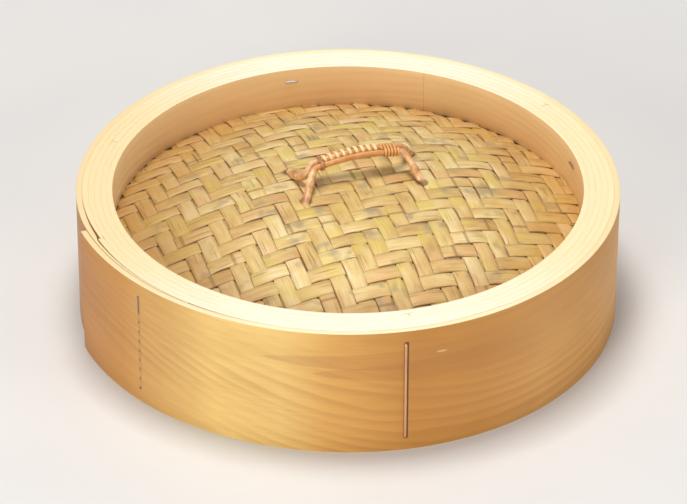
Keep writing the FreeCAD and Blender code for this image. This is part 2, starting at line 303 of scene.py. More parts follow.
def rounded_path(points, radii, spacing):
    """Evenly spaced places along straight runs whose corners are rounded to the radii."""
    points = [np.array(point, float) for point in points]
    places = [points[0]]
    for before, corner, after, radius in zip(points, points[1:], points[2:], radii):
        arriving = (corner - before) / np.linalg.norm(corner - before)
        leaving = (after - corner) / np.linalg.norm(after - corner)
        half_turn = math.acos(np.clip(arriving @ leaving, -1, 1)) / 2
        inward = (leaving - arriving) / np.linalg.norm(leaving - arriving)
        centre = corner + inward * (radius / math.cos(half_turn))
        for turned in np.linspace(-half_turn, half_turn, BEND_STATIONS):
            outward = -inward * math.cos(turned)
            along = (arriving + leaving) / np.linalg.norm(arriving + leaving) * math.sin(turned)
            places.append(centre + (outward + along) * radius)
    places.append(points[-1])
    places = np.array(places)
    travelled = lengths(places)
    wanted = np.linspace(0, travelled[-1], max(int(travelled[-1] / spacing), 8))
    return np.stack([np.interp(wanted, travelled, places[:, axis]) for axis in range(3)], axis=1)


def polar(radius, azimuth, height):
    """Places at a distance from the axis, an azimuth in degrees and a height."""
    angle = np.radians(azimuth)
    x, y = radius * np.cos(angle), radius * np.sin(angle)
    return np.stack(np.broadcast_arrays(x, y, height), axis=-1)


# -------------------- material nodes


def srgb(red, green, blue):
    """A colour from its values of 0 to 255 on a screen."""
    shares = [channel / 255 for channel in (red, green, blue)]
    linear = [s / 12.92 if s <= 0.04045 else ((s + 0.055) / 1.055) ** 2.4 for s in shares]
    return (*linear, 1.0)


class Paint:
    """Short ways to add nodes to one material."""

    def __init__(self, name, roughness=0.5):
        self.material = bpy.data.materials.new(name)
        self.material.use_nodes = True
        self.tree = self.material.node_tree
        self.surface = self.tree.nodes["Principled BSDF"]
        self.surface.inputs["Roughness"].default_value = roughness

    def put(self, socket, value):
        """Links another node's output into the socket, or sets the socket to a plain value."""
        if isinstance(value, bpy.types.NodeSocket):
            self.tree.links.new(value, socket)
        else:
            socket.default_value = value

    def math(self, operation, *values):
        node = self.tree.nodes.new("ShaderNodeMath")
        node.operation = operation
        for socket, value in zip(node.inputs, values):
            self.put(socket, value)
        return node.outputs[0]

    def times(self, first, second):
        return self.math("MULTIPLY", first, second)

    def over(self, first, second):
        return self.math("DIVIDE", first, second)

    def plus(self, first, second):
        return self.math("ADD", first, second)

    def minus(self, first, second):
        return self.math("SUBTRACT", first, second)

    def apart(self, first, second):
        """How far two values are from each other."""
        return self.math("ABSOLUTE", self.minus(first, second))

    def squares(self, first, second):
        """The sum of two squares."""
        return self.plus(self.math("POWER", first, 2.0), self.math("POWER", second, 2.0))

    def vector(self, x, y, z):
        node = self.tree.nodes.new("ShaderNodeCombineXYZ")
        for socket, value in zip(node.inputs, (x, y, z)):
            self.put(socket, value)
        return node.outputs[0]

    def split(self, vector):
        node = self.tree.nodes.new("ShaderNodeSeparateXYZ")
        self.put(node.inputs[0], vector)
        return node.outputs

    def grain(self):
        """Metres along and across the grain."""
        node = self.tree.nodes.new("ShaderNodeUVMap")
        node.uv_map = "grain"
        along, across, _ = self.split(node.outputs[0])
        return along, across

    def tone(self):
        """The number from 0 to 1 that each strip carries."""
        node = self.tree.nodes.new("ShaderNodeAttribute")
        node.attribute_name = "tone"
        return node.outputs["Fac"]

    def place(self):
        """Where a point is, in the part's own frame."""
        return self.tree.nodes.new("ShaderNodeTexCoord").outputs["Object"]

    def noise(self, x, y, grains, seed, detail=2.0, roughness=0.5):
        """Smooth noise from 0 to 1, with so many grains per metre of x and per metre of y."""
        node = self.tree.nodes.new("ShaderNodeTexNoise")
        node.inputs["Scale"].default_value = 1
        node.inputs["Detail"].default_value = detail
        node.inputs["Roughness"].default_value = roughness
        place = self.vector(self.times(x, grains[0]), self.times(y, grains[1]), seed)
        self.put(node.inputs["Vector"], place)
        return node.outputs[0]

    def between(self, value, low, high, start=0.0, end=1.0):
        """value from low..high carried smoothly to start..end, and held there outside."""
        node = self.tree.nodes.new("ShaderNodeMapRange")
        node.interpolation_type = "SMOOTHSTEP"
        for name, number in (("From Min", low), ("From Max", high), ("To Min", start), ("To Max", end)):
            self.put(node.inputs[name], number)
        self.put(node.inputs["Value"], value)
        return node.outputs[0]

    def ramp(self, value, *stops):
        node = self.tree.nodes.new("ShaderNodeValToRGB")
        elements = node.color_ramp.elements
        while len(elements) < len(stops):
            elements.new(0.5)
        for element, (position, colour) in zip(elements, stops):
            element.position = position
            element.color = colour
        self.put(node.inputs[0], value)
        return node.outputs[0]

    def mix(self, factor, first, second):
        node = self.tree.nodes.new("ShaderNodeMix")
        node.data_type = "RGBA"
        self.put(node.inputs["Factor"], factor)
        self.put(node.inputs[6], first)
        self.put(node.inputs[7], second)
        return node.outputs[2]

    def tint(self, colour, stain, value, low, high, start, end):
        """Stains a colour by the share start where value is low, and by end where it is high."""
        return self.mix(self.between(value, low, high, start, end), colour, stain)

    def rough(self, value):
        self.put(self.surface.inputs["Roughness"], value)

    def bump(self, height, depth):
        """Raises the surface by height (0 to 1) times the depth, in metres."""
        node = self.tree.nodes.new("ShaderNodeBump")
        node.inputs["Strength"].default_value = 1
        node.inputs["Distance"].default_value = depth
        self.put(node.inputs["Height"], height)
        self.put(self.surface.inputs["Normal"], node.outputs[0])

    def done(self, colour):
        """Colours the surface, and gives the finished material."""
        self.put(self.surface.inputs["Base Color"], colour)
        return self.material


def ring_lines(paint, along, across, pitch, seed):
    """Growth rings on a flat-sawn face: 0 in pale early wood, 1 in the thin dark late wood."""
    broad = paint.noise(along, across, (2.6, 11), seed, detail=1)
    small = paint.noise(along, across, (12, 60), seed + 3)
    shift = paint.times(paint.minus(broad, 0.5), pitch * 8)
    waver = paint.times(paint.minus(small, 0.5), pitch * 1.3)
    field = paint.plus(paint.plus(across, shift), waver)
    ring = paint.math("FRACT", paint.over(field, pitch))
    rising = paint.between(ring, 0.15, 0.84)
    falling = paint.between(ring, 0.88, 1.0, 1.0, 0.0)
    return paint.times(rising, falling)


def board_face(name, tones, dark, pitch, strength, seed, sweep=0.0):
    """The wide face of a bent board, its grain running along the hoop.

    tones are colours at shares of a full turn: the wood's own tone, and in places painted light and
    shade. dark is its late wood. pitch is the distance between growth rings, and strength is how
    clearly they show. sweep slants them near the board's start. They are clearer in the lower half of
    the board's height.
    """
    paint = Paint(name)
    along, across = paint.grain()
    slanted = paint.plus(across, paint.between(along, 0.0, 0.34, 0.0, sweep))
    rings = ring_lines(paint, along, slanted, pitch, seed)
    clouds = paint.noise(along, across, (9, 22), seed + 7, detail=3)
    hush = paint.noise(along, across, (6, 26), seed + 15, detail=1)
    streaks = paint.noise(along, across, (16, 620), seed + 9, detail=3)
    pores = paint.noise(along, across, (130, 3000), seed + 11, detail=1)
    low = paint.between(across, HOOP_HEIGHT * 0.45, HOOP_HEIGHT * 0.75, 1.0, 0.35)
    clear = paint.times(low, paint.between(hush, 0.35, 0.65, strength, strength * 0.2))
    colour = paint.ramp(paint.over(along, 2 * math.pi * HOOP_RADIUS), *tones)
    colour = paint.mix(paint.times(rings, clear), colour, dark)
    colour = paint.tint(colour, dark, clouds, 0.3, 0.65, 0.22, 0.0)
    colour = paint.tint(colour, dark, streaks, 0.3, 0.7, 0.1, 0.0)
    colour = paint.tint(colour, dark, pores, 0.62, 0.8, 0.0, 0.1)
    paint.rough(paint.between(streaks, 0.3, 0.7, 0.5, 0.4))
    paint.bump(paint.minus(streaks, paint.times(pores, 0.3)), 0.05 * MM)
    return paint, colour


# -------------------- materials


def flame(paint, along, across, tip, level, spread):
    """A pointed tongue of darker wood that opens out along the board from its tip."""
    gone = paint.minus(along, tip)
    half = paint.times(paint.math("SQRT", paint.math("MAXIMUM", gone, 0.0)), spread)
    inside = paint.between(paint.minus(half, paint.apart(across, level)), 0.0, 1.4 * MM)
    return paint.times(inside, paint.between(gone, FLAME_REACH * 0.3, FLAME_REACH, 1.0, 0.0))


def band_run(azimuth):
    """Metres along the outer band, from its free end to an azimuth."""
    return math.radians((azimuth - FREE_END) % 360) * HOOP_RADIUS


def wire_shadow(paint, along, across, place, azimuth):
    """The painted shadow beside a staple's crown, on its right. It is faint at the left staple, where the
    crown is sunk.
    """
    strength = 0.1 if place == "left" else 0.95
    sideways = paint.apart(along, band_run(azimuth) + 0.5 * MM)
    beside = paint.between(sideways, 1.0 * MM, 1.9 * MM, strength, 0.0)
    middle = HOOP_HEIGHT / 2
    upright = paint.apart(across, middle)
    return paint.times(beside, paint.between(upright, middle - 9.5 * MM, middle - 8 * MM, 1.0, 0.0))


def painted_glint(paint, along, across):
    """A painted highlight: a small pale spot on the outer band's face, greatest on it, and 0 round it."""
    beside = paint.over(paint.minus(along, band_run(GLINT_AZIMUTH)), GLINT_LENGTH / 2)
    above = paint.over(paint.minus(across, GLINT_LEVEL), GLINT_HEIGHT / 2)
    return paint.between(paint.squares(beside, above), 0.2, 1.3, 0.45, 0.0)


def outer_band_material():
    # Along the band: the wood's own tone, with a painted highlight from the front-left light at about -118
    # to -103 degrees, and painted shade around -76 degrees and towards the free end.
    tones = (
        (0.0, srgb(193, 130, 60)), (0.05, srgb(202, 144, 70)), (0.09, srgb(222, 178, 104)),
        (0.12, srgb(245, 208, 126)), (0.16, srgb(244, 207, 126)), (0.187, srgb(222, 170, 90)),
        (0.235, srgb(194, 136, 60)), (0.275, srgb(196, 139, 64)), (0.32, srgb(214, 158, 84)),
        (0.37, srgb(214, 154, 66)), (0.9, srgb(214, 158, 84)), (0.97, srgb(184, 128, 60)),
    )
    dark = srgb(160, 100, 46)
    paint, colour = board_face("outer_band_face", tones, dark, 8.5 * MM, 0.28, 2.0, sweep=0.06)
    along, across = paint.grain()
    for tip, level, spread in FLAMES:
        tongue = flame(paint, along, across, tip, level, spread)
        colour = paint.mix(paint.times(tongue, 0.24), colour, dark)
    for place, azimuth in STAPLES.items():
        wire_shade = wire_shadow(paint, along, across, place, azimuth)
        # Painted shadow of each staple's crown on the band, on its right side.
        colour = paint.mix(wire_shade, colour, srgb(88, 50, 24))
    # Painted highlight: a small pale spot on the band.
    colour = paint.mix(painted_glint(paint, along, across), colour, srgb(248, 212, 148))
    return paint.done(colour)


def inner_ring_material():
    """Paler wood. Painted shade darkens it just over the dome's edge; painted light makes it paler round
    the hoop's left side and towards the rim.
    """
    # Paler round the hoop's left side, at about 146 to 214 degrees: painted light.
    tones = (
        (0.0, srgb(226, 186, 132)), (0.06, srgb(214, 174, 121)), (0.14, srgb(214, 174, 121)),
        (0.21, srgb(228, 192, 140)), (0.28, srgb(255, 228, 176)), (0.4, srgb(222, 180, 122)),
        (0.78, srgb(228, 188, 132)), (0.98, srgb(224, 186, 130)),
    )
    dark = srgb(184, 130, 76)
    pale = srgb(250, 216, 164)
    paint, colour = board_face("inner_ring_face", tones, dark, 5 * MM, 0.3, 31.0)
    _, _, height = paint.split(paint.place())
    # Painted shade in the corner just above the dome's edge.
    colour = paint.tint(colour, dark, height, DOME_EDGE_HEIGHT, DOME_EDGE_HEIGHT + 12 * MM, 0.12, 0.0)
    # Painted light towards the rim.
    colour = paint.tint(colour, pale, height, HOOP_HEIGHT - 24 * MM, HOOP_HEIGHT - 6 * MM, 0.0, 0.36)
    return paint.done(colour)


def ply_face_material():
    tones = ((0.0, srgb(232, 200, 146)), (0.5, srgb(226, 190, 132)), (1.0, srgb(232, 200, 146)))
    paint, colour = board_face("ply_face", tones, srgb(190, 142, 84), 4 * MM, 0.4, 17.0)
    return paint.done(colour)


def ply_edge_material(name, pale, mid, seed):
    """The sawn edge of a bent board: cream, with faint lines that run along it.

    It is paler at the hoop's front and back than at its sides: a painted sheen of the end grain. It is
    darker and yellower towards the left.
    """
    paint = Paint(name, 0.6)
    along, across = paint.grain()
    lines = paint.noise(along, across, (7, 1500), seed, detail=3)
    patches = paint.noise(along, across, (26, 240), seed + 5)
    specks = paint.noise(along, across, (420, 2600), seed + 8, detail=1)
    x, y, _ = paint.split(paint.place())
    tan = srgb(204, 166, 104)
    depth = paint.math("ABSOLUTE", y)
    # Painted sheen: the end grain is paler at the rim's front and back.
    colour = paint.tint(mid, pale, depth, HOOP_RADIUS * 0.4, HOOP_RADIUS * 0.95, 0.0, 1.0)
    left_tint = srgb(222, 190, 136)
    colour = paint.tint(colour, left_tint, x, HOOP_RADIUS * -0.15, HOOP_RADIUS * -0.95, 0.0, 0.36)
    colour = paint.tint(colour, tan, lines, 0.3, 0.5, 0.06, 0.0)
    colour = paint.tint(colour, srgb(222, 190, 130), patches, 0.35, 0.7, 0.14, 0.0)
    colour = paint.tint(colour, tan, specks, 0.68, 0.8, 0.0, 0.2)
    paint.bump(paint.plus(lines, specks), 0.08 * MM)
    return paint.done(colour)


def stains_and_painted_shade(paint, colour, own):
    """Grey stains; a browning towards the dome's edge that is partly stain and partly painted shade;
    painted shade of the rim over the dome's left side; and a more orange tint towards its right side.
    """
    x, y, _ = paint.split(paint.place())
    stain = paint.noise(x, y, (33, 33), own, detail=3, roughness=0.65)
    from_axis = paint.math("SQRT", paint.squares(x, y))
    colour = paint.tint(colour, srgb(154, 142, 112), stain, 0.55, 0.68, 0.0, 0.75)
    # Browner towards the edge: partly stain, partly painted shade where the dome meets the rings.
    colour = paint.tint(colour, srgb(190, 132, 66), from_axis, 0.09, 0.156, 0.0, 0.4)
    # Painted shade of the rim wall over the dome's left side.
    colour = paint.tint(colour, srgb(176, 134, 70), x, -0.03, -0.12, 0.0, 0.52)
    # A more orange tint towards the right side.
    return paint.tint(colour, srgb(208, 160, 76), x, 0.06, 0.15, 0.0, 0.3)


def splint_material(name, width, feet):
    """Split bamboo: straw yellow, with fibres, splits, growth nodes, painted shade along the edges and
    painted shade round the handle's feet.
    """
    paint = Paint(name)
    along, across = paint.grain()
    tone = paint.tone()
    own = paint.times(tone, 61.0)
    drift = paint.noise(along, across, (55, 110), own, detail=3)
    hue = paint.noise(along, across, (38, 30), paint.plus(own, 9.0), detail=1)
    fibres = paint.noise(along, across, (45, 2600), own)
    splits = paint.noise(along, across, (28, 1100), paint.plus(own, 4.0), detail=1)
    split = paint.between(splits, 0.68, 0.74)
    node_turn = paint.math("FRACT", paint.plus(paint.over(along, NODE_SPACING), own))
    node = paint.between(paint.apart(node_turn, 0.5), 0.003, 0.009, 1.0, 0.0)
    edge = paint.between(paint.math("ABSOLUTE", across), width * 0.41, width * 0.49)
    # Painted shade along each splint's edges, where the floats stand over the crossing splints.
    edge_shade = paint.times(edge, paint.between(hue, 0.42, 0.58, 0.95, 0.1))
    colour = paint.ramp(
        paint.plus(paint.times(tone, 0.35), paint.times(drift, 0.85)),
        (0.3, srgb(188, 150, 88)), (0.5, srgb(211, 178, 113)),
        (0.65, srgb(222, 195, 130)), (0.9, srgb(236, 217, 166)),
    )
    colour = paint.tint(colour, srgb(214, 192, 96), hue, 0.5, 0.68, 0.0, 0.6)
    colour = paint.tint(colour, srgb(218, 168, 116), hue, 0.46, 0.3, 0.0, 0.5)
    colour = stains_and_painted_shade(paint, colour, own)
    colour = paint.tint(colour, srgb(160, 116, 58), fibres, 0.3, 0.62, 0.32, 0.0)
    colour = paint.mix(paint.times(split, 0.7), colour, srgb(118, 82, 42))
    colour = paint.mix(edge_shade, colour, srgb(128, 88, 42))
    colour = paint.mix(paint.times(node, 0.55), colour, srgb(128, 92, 52))
    paint.rough(paint.between(fibres, 0.3, 0.7, 0.58, 0.42))
    height = paint.minus(fibres, paint.times(split, 1.2))
    paint.bump(paint.plus(height, node), 0.16 * MM)
    return paint.done(painted_shade_at_feet(paint, colour, feet, 2.6 * MM, 5.5 * MM, 0.8))


def cane_material(name, grip_colour, feet):
    """Peeled cane: pinkish tan and blotchy at its legs, and the given colour along the grip."""
    paint = Paint(name, 0.42)
    along, across = paint.grain()
    streaks = paint.noise(along, across, (40, 900), 2.0)
    patches = paint.noise(along, across, (150, 150), 7.0, detail=3)
    from_middle = paint.apart(along, lengths(cane_path(1))[-1] / 2)
    colour = paint.ramp(
        patches, (0.34, srgb(176, 118, 72)), (0.5, srgb(218, 168, 114)), (0.64, srgb(242, 210, 158))
    )
    colour = paint.tint(
        colour, grip_colour, from_middle, GRIP_HALF - 4 * MM, GRIP_HALF + 1 * MM, 0.75, 0.0
    )
    colour = paint.tint(colour, srgb(164, 102, 54), streaks, 0.35, 0.65, 0.35, 0.0)
    # Painted shade where the cane goes into the dome, centred a little under each foot.
    buried = [foot - np.array([0, 0, 2.5 * MM]) for foot in feet]
    paint.rough(paint.between(patches, 0.3, 0.7, 0.36, 0.5))
    paint.bump(paint.plus(streaks, patches), 0.12 * MM)
    return paint.done(painted_shade_at_feet(paint, colour, buried, 4 * MM, 5.8 * MM, 0.85))


def painted_shade_at_feet(paint, colour, feet, full, clear, strength):
    """Painted shade round the handle's feet, where the canes go into the dome: full up to one distance, and
    clear from another.
    """
    for foot in feet:
        run = paint.tree.nodes.new("ShaderNodeVectorMath")
        run.operation = "DISTANCE"
        paint.put(run.inputs[0], paint.place())
        paint.put(run.inputs[1], tuple(foot))
        colour = paint.tint(colour, srgb(84, 52, 26), run.outputs["Value"], full, clear, strength, 0.0)
    return colour


def wrap_material(name, pale, mid, dark):
    """A flat wound strip of cane, with fibres along it, and painted shade at its edges, between the turns.
    """
    paint = Paint(name, 0.45)
    along, across = paint.grain()
    fibres = paint.noise(along, across, (90, 2400), 5.0)
    patches = paint.noise(along, across, (130, 0), 3.0)
    # Painted shade at the strip's edges, between the turns.
    edge = paint.between(paint.math("ABSOLUTE", across), 0.8 * MM, 1.4 * MM)
    colour = paint.ramp(patches, (0.35, mid), (0.6, pale))
    colour = paint.tint(colour, dark, fibres, 0.3, 0.6, 0.35, 0.0)
    paint.bump(fibres, 0.1 * MM)
    return paint.done(paint.mix(paint.times(edge, 0.6), colour, dark))


def leaf_material():
    """Dry brown leaf with fine veins and darker blotches."""
    paint = Paint("leaf", 0.62)
    x, y, _ = paint.split(paint.place())
    leaf = paint.noise(x, y, (9, 26), 1.0, detail=1)
    veins = paint.noise(x, y, (12, 1500), 4.0, detail=1)
    blotches = paint.noise(x, y, (60, 60), 8.0, detail=4)
    colour = paint.ramp(
        leaf, (0.35, srgb(156, 116, 62)), (0.5, srgb(176, 138, 78)), (0.65, srgb(164, 144, 82))
    )
    colour = paint.tint(colour, srgb(112, 78, 38), veins, 0.4, 0.65, 0.4, 0.0)
    paint.rough(paint.between(blotches, 0.3, 0.7, 0.7, 0.52))
    paint.bump(veins, 0.1 * MM)
    return paint.done(paint.tint(colour, srgb(124, 86, 44), blotches, 0.5, 0.7, 0.0, 0.4))


def wire_material():
    """Staple wire: its tone goes from bright steel, through bronze, to dark rust."""
    paint = Paint("wire", 0.36)
    paint.surface.inputs["Metallic"].default_value = 0.6
    along, across = paint.grain()
    rust = paint.noise(along, across, (60, 200), 9.0)
    colour = paint.ramp(
        paint.tone(), (0.0, srgb(190, 184, 176)), (0.5, srgb(218, 168, 122)), (1.0, srgb(138, 120, 106))
    )
    paint.rough(paint.between(rust, 0.5, 0.75, 0.34, 0.6))
    return paint.done(paint.tint(colour, srgb(120, 80, 54), rust, 0.55, 0.75, 0.0, 0.5))


# -------------------- hoop


def lap_lift(azimuth):
    """How far the outer band's free end is lifted by the tail under it."""
    share = 1 - np.cos(np.radians(LAP_CLOSING - azimuth))
    lifted = LAP_RISE * share / (1 - math.cos(math.radians(LAP_CLOSING - FREE_END)))
    return np.where(azimuth < LAP_CLOSING, lifted, 0.0)


def ease(angle, span):
    """A gentle run from 0 at no angle to 1 at the span, for angles in degrees."""
    return (1 - np.cos(np.radians(np.clip(angle, 0, span)))) / (1 - math.cos(math.radians(span)))


def band_inside(azimuth):
    """The band's inner face. Its tail stands a hair off the ply under it, where that ply ends."""
    past_joint = azimuth - 360 - SCARF_JOINT
    hair = np.where(past_joint > 0, TAIL_GAP * np.exp(-past_joint / TAIL_CLOSING), 0)
    return HOOP_RADIUS - PLY + lap_lift(azimuth) + hair


def band_outside(azimuth):
    """The face that is seen, then the dive under the lap, then the thinning tail."""
    lap_start = FREE_END + 360
    tail = HOOP_RADIUS - PLY + lap_lift(azimuth - 360) - LAP_GAP
    diving = HOOP_RADIUS - DIVE_DEPTH * ease(azimuth - lap_start + DIVE_SPAN, DIVE_SPAN)
    seen = np.where(azimuth < lap_start, diving, tail)
    return np.where(azimuth < LAP_CLOSING, HOOP_RADIUS + lap_lift(azimuth), seen)


def scarf_outside(azimuth):
    """The outer face of the ply under the band, shaved away towards its end."""
    scarf_start = SCARF_JOINT + 360 - JOINT_ANGLE - SCARF_SPAN
    return HOOP_RADIUS - PLY - SCARF_DEPTH * ease(azimuth - scarf_start, SCARF_SPAN)


def ply_section(inner, outer, low, high, eased):
    """Corners (radius, height) of a board's section, going round from the foot of its outer face."""
    eased = min(eased, (outer - inner) / 3)
    levels = np.linspace(low + eased, high - eased, 6)
    bend = eased * (1 - math.sqrt(0.5))
    corners = [(outer, level) for level in levels]
    corners += [(outer - bend, high - bend), (outer - eased, high), (inner + eased, high)]
    corners += [(inner + bend, high - bend)]
    corners += [(inner, level) for level in levels[::-1]]
    corners += [(inner + bend, low + bend), (inner + eased, low), (outer - eased, low)]
    corners += [(outer - bend, low + bend)]
    return np.array(corners)


def bent_ply(name, span, sides, levels, materials, seed, eased=PLY_EASE):
    """One board bent round the hoop.

    span is its first and last azimuth, sides are its inner and outer radius as functions of the
    azimuth, and levels are its lower and upper edge. The upper edge waves a little. The first
    material is on the board's faces and the second on its edges.
    """
    start, end = span
    low, high = levels
    azimuths = np.linspace(start, end, int((end - start) / STATION_STEP) + 2)
    inners, outers = (side(azimuths) for side in sides)
    rise = waves(azimuths / 360 * 3, EDGE_WAVE, seed) - EDGE_WAVE
    stations = []
    for azimuth, inner, outer, up in zip(azimuths, inners, outers, rise):
        corners = ply_section(inner, outer, low, high + up, eased)
        stations.append(polar(corners[:, 0], azimuth, corners[:, 1]))
    sections = np.array(stations)
    for row in (0, -1):
        sections[row] += (sections[row].mean(axis=0) - sections[row]) * END_EASE
    corners = ply_section(inners[0], outers[0], low, high, eased)
    closed = np.vstack([corners, corners[:1]])
    on_edge = np.abs(np.diff(closed[:, 1])) < eased
    build = Build()
    along = np.radians(azimuths - start) * HOOP_RADIUS
    build.loft(sections, along, lengths(closed), slots=on_edge.astype(int))
    build.finish(name, materials)


def constant(radius):
    return lambda azimuth: np.full_like(azimuth, radius, dtype=float)


def full_turn(joint, gap):
    """First and last azimuth of a board whose ends butt together at a joint."""
    return joint, joint + 360 - gap


def make_hoop():
    face = ply_face_material()
    ring_face = inner_ring_material()
    outer_edge = ply_edge_material("outer_band_edge", srgb(240, 226, 186), srgb(234, 213, 166), 3.0)
    edges = [
        ply_edge_material(f"ply_edge_{number}", srgb(240, 236, 214), srgb(236, 222, 178), 10.0 + number * 9)
        for number in range(3)
    ]
    whole = (0, HOOP_HEIGHT)
    bent_ply("outer_band", (FREE_END, TAIL_TIP + 360), (band_inside, band_outside), whole,
             [outer_band_material(), outer_edge], 1, BAND_EASE)
    sides = (constant(HOOP_RADIUS - 2 * PLY), scarf_outside)
    bent_ply("coil_ply_1", full_turn(SCARF_JOINT, JOINT_ANGLE), sides, whole,
             [face, edges[0]], 2)
    for number, (name, joint) in enumerate(PLY_JOINTS.items(), start=2):
        outer = HOOP_RADIUS - number * PLY
        sides = (constant(outer - PLY), constant(outer))
        bent_ply(name, full_turn(joint, JOINT_ANGLE), sides, whole,
                 [face, edges[number % 3]], number + 2)
    sides = (constant(BORE_RADIUS), constant(BORE_RADIUS + PLY))
    bent_ply("inner_upper_ring", full_turn(UPPER_RING_JOINT, RING_JOINT_ANGLE), sides,
             (DOME_EDGE_HEIGHT - RING_BITE, HOOP_HEIGHT), [ring_face, edges[0]], 11)
    bent_ply("inner_lower_ring", full_turn(LOWER_RING_JOINT, RING_JOINT_ANGLE), sides,
             (0, DOME_EDGE_HEIGHT - SANDWICH + RING_BITE), [ring_face, edges[1]], 13)


# -------------------- dome


def dome_height(radius):
    """Height of the dome's top surface at a distance from the axis."""
    radius = np.asarray(radius, float)
    shoulder_end = CROWN_RADIUS + SHOULDER_RADIUS * math.sin(SLOPE)
    cone = DOME_EDGE_HEIGHT + np.maximum(CLAMP_RADIUS - radius, 0) * math.tan(SLOPE)
    shoulder_height = DOME_EDGE_HEIGHT + (CLAMP_RADIUS - shoulder_end) * math.tan(SLOPE)
    run = np.clip(radius - CROWN_RADIUS, 0, SHOULDER_RADIUS * math.sin(SLOPE))
    drop = SHOULDER_RADIUS - np.sqrt(SHOULDER_RADIUS**2 - run**2)
    full_drop = SHOULDER_RADIUS * (1 - math.cos(SLOPE))
    return np.where(radius >= shoulder_end, cone, shoulder_height + full_drop - drop)


def dome_normals(points):
    """Directions straight out of the dome above each point."""
    radius = np.hypot(points[:, 0], points[:, 1])
    step = 0.5 * MM
    slope = (dome_height(radius + step) - dome_height(np.maximum(radius - step, 0))) / (2 * step)
    unit = points[:, :2] / np.maximum(radius, step)[:, None]
    normals = np.column_stack([-unit * slope[:, None], np.ones(len(points))])
    return normals / np.linalg.norm(normals, axis=1, keepdims=True)


def weave(name, direction, depth, upside, looseness, material):
    """One set of a twill's splints. Each goes over two and under two of the crossing set.

    depth is from the dome's top surface to the middle of the weave, and upside is 1 where the
    splints' good faces look up and -1 where they look down.
    """
    turned = math.radians(WEAVE_AZIMUTH)
    weft_axis = np.array([math.cos(turned), math.sin(turned)])
    warp_axis = np.array([-math.sin(turned), math.cos(turned)])
    if direction == "wefts":
        strips, crossing, along_axis, across_axis = WEFTS, WARPS, weft_axis, warp_axis
    else:
        strips, crossing, along_axis, across_axis = WARPS, WEFTS, warp_axis, weft_axis
    build = Build()
    for number in range(strips["count"]):
        width = strips["width"] * (1 + rng.normal() * WIDTH_SPREAD)
        offset = strip_place(strips, number)
        outer_edge = min(abs(offset) + width * 0.55, SPLINT_REACH * 0.985)
        reach = math.sqrt(SPLINT_REACH**2 - outer_edge**2)
        step = crossing["pitch"] / STATIONS_PER_CROSSING
        runs = np.linspace(-reach, reach, int(2 * reach / step) + 3)
        seed = int(rng.integers(1_000_000))
        crossed = (runs - strip_place(crossing, 0)) / crossing["pitch"]
        phase = np.cos(math.pi / 2 * (crossed - number + FLOAT_START[direction]))
        lift = twill_lift(phase, runs, offset, looseness, seed + 1)
        wander = waves(runs / WANDER_RUN, looseness * SPLINT_WANDER, seed)
        flat = runs[:, None] * along_axis + (offset + wander)[:, None] * across_axis
        height = dome_height(np.hypot(flat[:, 0], flat[:, 1])) - depth
        path = np.column_stack([flat, height])
        normals = dome_normals(path)
        path = path + normals * (lift * upside)[:, None]
        widths = width * (1 + waves(runs / WIDTH_RUN, WIDTH_WAVE * looseness, seed + 2))
        widths = trimmed(widths, runs, offset)
        ribbon(build, path, normals * upside, widths, SPLINT, SPLINT_CROWN, rng.random())
    build.finish(name, [material], sharp=60)


def twill_lift(phase, runs, offset, looseness, seed):
    """How far a splint stands off the weave's middle: up where phase is 1, and down where it is -1.

    Its floats bulge a little, except near the dome's edge, where the rings hold it flat.
    """
    loose = FLOAT_BULGE + waves(runs / BULGE_RUN, BULGE_SPREAD * looseness, seed)
    bulge = np.clip(np.maximum(phase, 0) * loose, 0, BULGE_LIMIT)
    lift = np.tanh(FLOAT_SNAP * phase) * FLOAT_LIFT + bulge
    held = np.hypot(runs, offset) > CLAMP_RADIUS - HELD_MARGIN
    return np.where(held, np.clip(lift, -HELD_DROP, FLOAT_LIFT), lift)


def strip_place(strips, number):
    """Distance of a splint's middle from the axis, across its own set."""
    return (number - (strips["count"] - 1) / 2) * strips["pitch"] + strips["shift"]


def trimmed(widths, runs, offset):
    """Narrows a splint near the dome's edge, where it would come out past the rings."""
    room = np.sqrt(np.maximum(SPLINT_REACH**2 - runs**2, 0)) - abs(offset)
    return np.minimum(widths, np.maximum(2 * room, NARROWEST))


def make_dome(feet):
    weft_paint = splint_material("weft_splints", WEFTS["width"], feet)
    warp_paint = splint_material("warp_splints", WARPS["width"], feet)
    layers = (
        ("outer", WEAVE_LAYER / 2, 1.0),
        ("inner", WEAVE_LAYER * 1.5 + LINING, -1.0),
    )
    for side, depth, upside in layers:
        weave(f"{side}_weave_wefts", "wefts", depth, upside, 1.0, weft_paint)
        weave(f"{side}_weave_warps", "warps", depth, upside, 0.7, warp_paint)
    make_lining()


def make_lining():
    """Dry leaves between the two weaves: a thin crinkled cap, made of rings out to the clamped edge."""
    radii = np.concatenate([np.linspace(1 * MM, 152 * MM, 46), [155 * MM, LINING_REACH]])
    sectors = np.linspace(0, 360, 144, endpoint=False)
    middle = WEAVE_LAYER + LINING / 2
    rings = []
    for side in (1, -1):
        for number, radius in enumerate(radii[::side]):
            crinkle = waves(sectors / 360 * 5 + radius / 0.03, LINING_CRINKLE, number // 6, terms=9)
            crinkle = np.clip(crinkle, -LINING_CRINKLE, LINING_CRINKLE)
            height = dome_height(radius) - middle + side * LINING_SKIN + crinkle
            rings.append(polar(radius, sectors, height))
    sections = np.array(rings)
    build = Build()
    build.loft(sections, lengths(sections[:, 0]), np.linspace(0, 1, len(sectors) + 1))
    build.finish("leaf_lining", [leaf_material()], sharp=60)


# -------------------- handle


